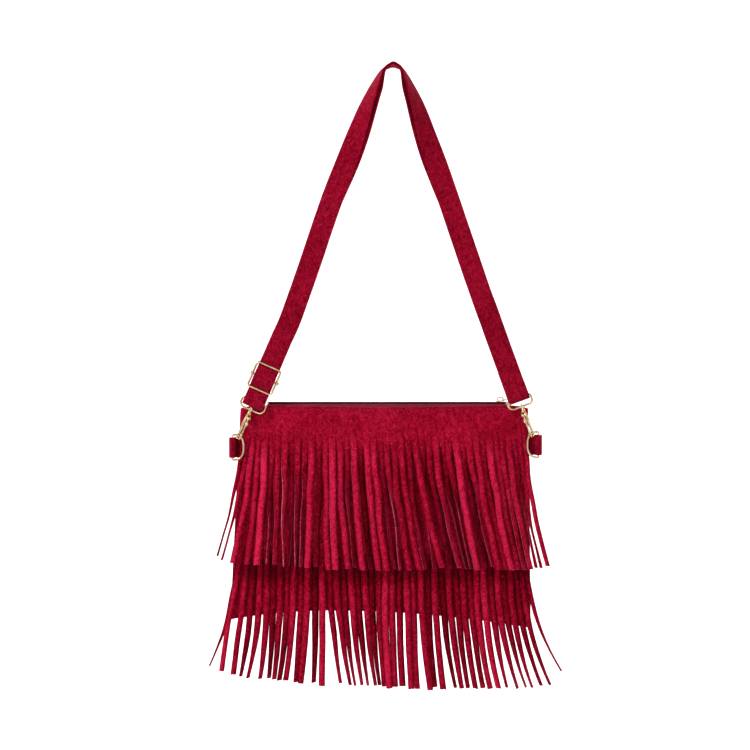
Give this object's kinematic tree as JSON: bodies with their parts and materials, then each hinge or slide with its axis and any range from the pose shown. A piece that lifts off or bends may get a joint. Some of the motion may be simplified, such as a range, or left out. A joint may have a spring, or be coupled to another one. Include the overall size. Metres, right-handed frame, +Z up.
{
  "type": "fringed shoulder bag",
  "caption": "Small suede shoulder bag with long cut fringe, top zip, and a flat strap on swivel clasps with an adjuster.",
  "frame": {"origin": "middle of the flat underside of the strap at its top, where it lies on what carries the bag", "axes": "+Z up, front towards -Y, +X to the viewer's right"},
  "size_m": [0.3093, 0.0372, 0.5856],
  "materials": {
    "suede_red": "napped suede, crimson",
    "suede_dark": "napped suede, deeper crimson",
    "lining_cloth": "plain woven cloth",
    "zip_cloth": "woven tape and nylon coil",
    "pale_gold": "polished pale gold plating"
  },
  "bodies": {
    "strap": {"strap": "suede_dark", "adjuster_frame": "pale_gold", "adjuster_bar": "pale_gold"},
    "clasp_eye_left_body": {"clasp_eye_left": "pale_gold"},
    "clasp_eye_right_body": {"clasp_eye_right": "pale_gold"},
    "clasp_hook_left_body": {"clasp_hook_left": "pale_gold", "gate_pin_left": "pale_gold"},
    "clasp_hook_right_body": {"clasp_hook_right": "pale_gold", "gate_pin_right": "pale_gold"},
    "clasp_gate_left_body": {"clasp_gate_left": "pale_gold"},
    "clasp_gate_right_body": {"clasp_gate_right": "pale_gold"},
    "bag": {"front_panel": "suede_red", "back_panel": "suede_red", "lining": "lining_cloth", "upper_fringe": "suede_red", "lower_fringe": "suede_red", "tab_left": "suede_red", "tab_right": "suede_red", "zip_tape_front": "zip_cloth", "zip_tape_back": "zip_cloth", "zip_coil_front": "zip_cloth", "zip_coil_back": "zip_cloth", "zip_stop_left": "pale_gold", "zip_stop_right": "pale_gold"},
    "d_ring_left_body": {"d_ring_left": "pale_gold"},
    "d_ring_right_body": {"d_ring_right": "pale_gold"},
    "zip_slider_body": {"zip_slider": "pale_gold"},
    "zip_pull_body": {"zip_pull": "pale_gold"}
  },
  "joints": [
    {"name": "clasp_tilt_left", "type": "hinge", "parent": "strap", "child": "clasp_eye_left_body", "pos_m": [-0.12931, -0.0118, -0.31337], "axis": [0.9999, 0, 0.0132], "range_deg": [-5, 6]},
    {"name": "clasp_tilt_right", "type": "hinge", "parent": "strap", "child": "clasp_eye_right_body", "pos_m": [0.11631, -0.0118, -0.31013], "axis": [0.9999, 0, 0.0132], "range_deg": [-5, 6]},
    {"name": "swivel_left", "type": "hinge", "parent": "clasp_eye_left_body", "child": "clasp_hook_left_body", "pos_m": [-0.1335, -0.0118, -0.323], "axis": [-0.3987, 0, -0.9171], "range_deg": [-5, 8]},
    {"name": "gate_left", "type": "hinge", "parent": "clasp_hook_left_body", "child": "clasp_gate_left_body", "pos_m": [-0.13489, -0.01445, -0.32916], "axis": [0.8378, 0.4067, -0.3643], "range_deg": [0, 18], "stiffness_Nm_per_rad": 0.01, "springref_deg": -20.05},
    {"name": "swivel_right", "type": "hinge", "parent": "clasp_eye_right_body", "child": "clasp_hook_right_body", "pos_m": [0.1199, -0.0118, -0.32], "axis": [0.342, 0, -0.9397], "range_deg": [-8, 4]},
    {"name": "gate_right", "type": "hinge", "parent": "clasp_hook_right_body", "child": "clasp_gate_right_body", "pos_m": [0.12091, -0.01445, -0.32623], "axis": [0.8585, -0.4067, 0.3125], "range_deg": [0, 18], "stiffness_Nm_per_rad": 0.01, "springref_deg": -20.05},
    {"name": "bag_swing", "type": "hinge", "parent": "clasp_eye_left_body", "child": "bag", "pos_m": [-0.14335, -0.0118, -0.34565], "axis": [1, 0, 0.009], "range_deg": [-12, 0]},
    {"name": "ring_turn_left", "type": "hinge", "parent": "bag", "child": "d_ring_left_body", "pos_m": [-0.14975, -0.0118, -0.35604], "axis": [0, 0, 1], "range_deg": [-1, 7]},
    {"name": "ring_turn_right", "type": "hinge", "parent": "bag", "child": "d_ring_right_body", "pos_m": [0.13475, -0.0118, -0.3536], "axis": [0, 0, 1], "range_deg": [-7, 1]},
    {"name": "zip_slide", "type": "slide", "parent": "bag", "child": "zip_slider_body", "axis": [-1, 0, 0], "range_m": [0, 0.212]},
    {"name": "pull_flip", "type": "hinge", "parent": "zip_slider_body", "child": "zip_pull_body", "pos_m": [0.1015, 0, -0.31143], "axis": [0, -1, 0], "range_deg": [0, 80]}
  ],
  "couplings": [
    {"joint": "clasp_tilt_right", "follows": "clasp_tilt_left", "ratio": 1}
  ]
}
